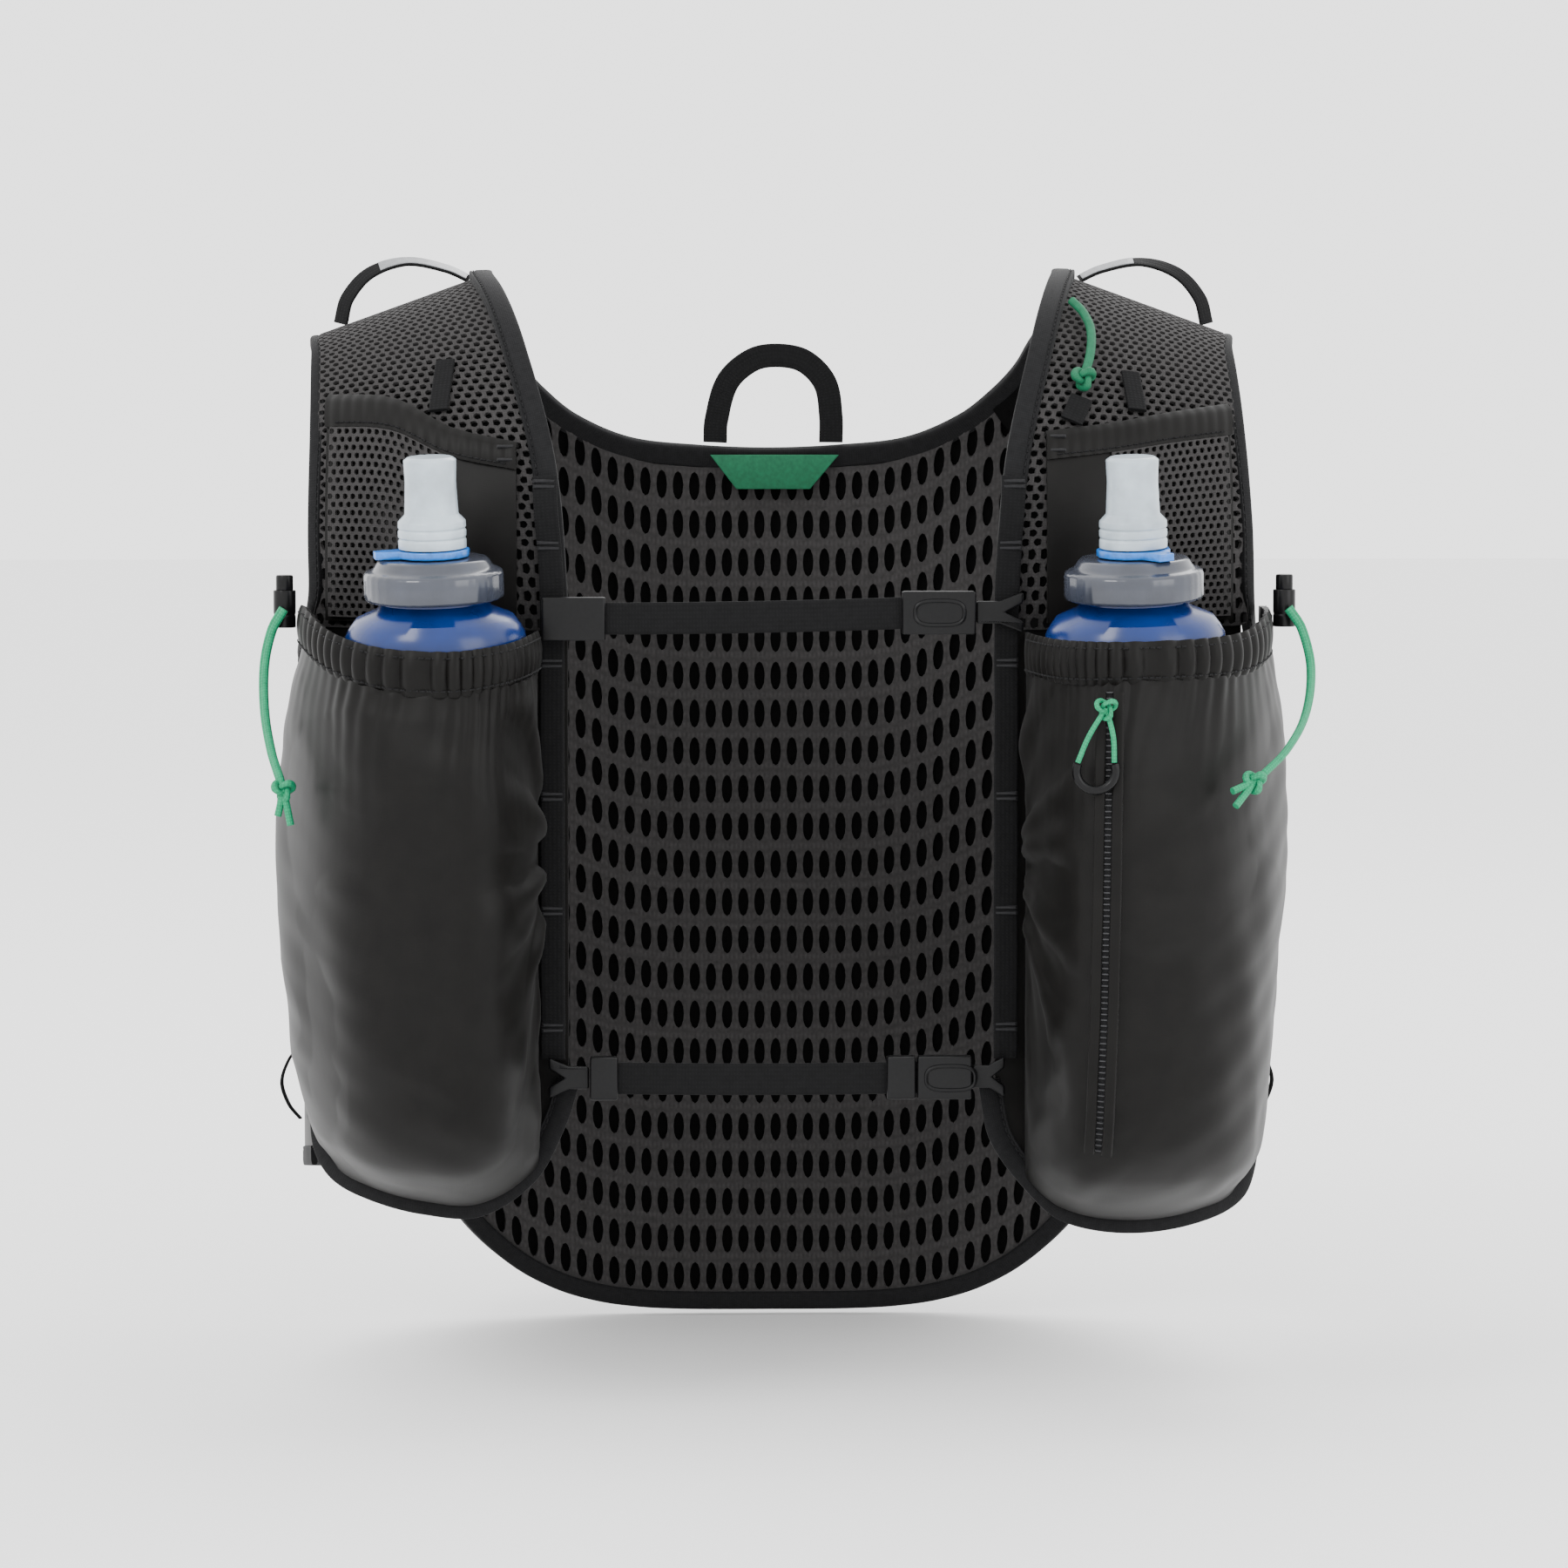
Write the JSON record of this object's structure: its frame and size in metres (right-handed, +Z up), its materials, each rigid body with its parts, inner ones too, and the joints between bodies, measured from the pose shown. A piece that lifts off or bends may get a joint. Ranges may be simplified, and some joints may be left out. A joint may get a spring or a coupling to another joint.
{
  "type": "running hydration vest with two soft flasks",
  "caption": "Black running hydration vest with an oval-net back, two gathered chest pockets holding blue soft flasks, two sternum straps and green drawcords.",
  "frame": {"origin": "where the vest sits on the shoulders: midway between the straps, on their crest, at the underside's height beside the neck", "axes": "+Z up, +X to the picture's right (the wearer's left), the chest faces -Y"},
  "size_m": [0.3659, 0.302, 0.3998],
  "materials": {
    "nylon": "satin woven nylon",
    "net": "knitted spacer net",
    "tape": "woven edge tape",
    "webbing": "woven webbing",
    "plastic": "moulded",
    "green": "braided cord",
    "flask": "translucent film",
    "cap": "smoky translucent",
    "valve": "milky silicone",
    "lever": "moulded"
  },
  "bodies": {
    "vest": {"arm_binding_left": "tape", "arm_binding_right": "tape", "back_mesh": "net", "back_shell": "nylon", "buckle_lower": "plastic", "buckle_upper": "plastic", "chest_strap_lower": "webbing", "chest_strap_upper": "webbing", "cord_lock_left": "plastic", "cord_lock_right": "plastic", "cord_tab": "webbing", "drawcord_left": "green", "drawcord_right": "green", "flask_left": "flask", "flask_pocket_left": "nylon", "flask_pocket_right": "nylon", "flask_right": "flask", "front_panel_left": "nylon", "front_panel_right": "nylon", "glider_lower": "plastic", "hang_loop": "webbing", "hem_binding": "tape", "hook_lower_left": "plastic", "hook_lower_right": "plastic", "hook_upper": "plastic", "hose_tab_left": "webbing", "hose_tab_right": "webbing", "neck_binding": "tape", "neck_label": "green", "pocket_hem_left": "nylon", "pocket_hem_right": "nylon", "pocket_rim_left": "tape", "pocket_rim_right": "tape", "pull_ring": "plastic", "shoulder_cord": "green", "shoulder_left": "net", "shoulder_loop_left": "webbing", "shoulder_loop_right": "webbing", "shoulder_right": "net", "side_loop_left": "webbing", "side_loop_right": "webbing", "side_panel_left": "nylon", "side_panel_right": "nylon", "strap_keeper": "plastic", "strap_ring_lower": "plastic", "upper_pocket_left": "nylon", "upper_pocket_right": "nylon", "webbing_left": "webbing", "webbing_right": "webbing", "zip_cord": "green", "zip_tape": "tape"},
    "cap_body_left": {"cap_left": "cap", "bite_valve_left": "valve"},
    "lever_body_left": {"valve_lever_left": "lever"},
    "button_body_left": {"lock_button_left": "plastic"},
    "cap_body_right": {"cap_right": "cap", "bite_valve_right": "valve"},
    "lever_body_right": {"valve_lever_right": "lever"},
    "button_body_right": {"lock_button_right": "plastic"}
  },
  "joints": [
    {"name": "cap_turn_left", "type": "hinge", "parent": "vest", "child": "cap_body_left", "pos_m": [-0.119, -0.143, -0.107], "axis": [-0.0262, -0.0958, 0.9951], "range_deg": [0, 300]},
    {"name": "lever_turn_left", "type": "hinge", "parent": "cap_body_left", "child": "lever_body_left", "pos_m": [-0.119, -0.143, -0.107], "axis": [-0.0262, -0.0958, 0.9951], "range_deg": [0, 90]},
    {"name": "button_press_left", "type": "slide", "parent": "vest", "child": "button_body_left", "axis": [0, 0, -1], "range_m": [0, 0.003], "stiffness_N_per_m": 150},
    {"name": "cap_turn_right", "type": "hinge", "parent": "vest", "child": "cap_body_right", "pos_m": [0.119, -0.143, -0.107], "axis": [-0.0262, -0.0958, 0.9951], "range_deg": [0, 300]},
    {"name": "lever_turn_right", "type": "hinge", "parent": "cap_body_right", "child": "lever_body_right", "pos_m": [0.119, -0.143, -0.107], "axis": [-0.0262, -0.0958, 0.9951], "range_deg": [0, 90]},
    {"name": "button_press_right", "type": "slide", "parent": "vest", "child": "button_body_right", "axis": [0, 0, -1], "range_m": [0, 0.003], "stiffness_N_per_m": 150}
  ]
}
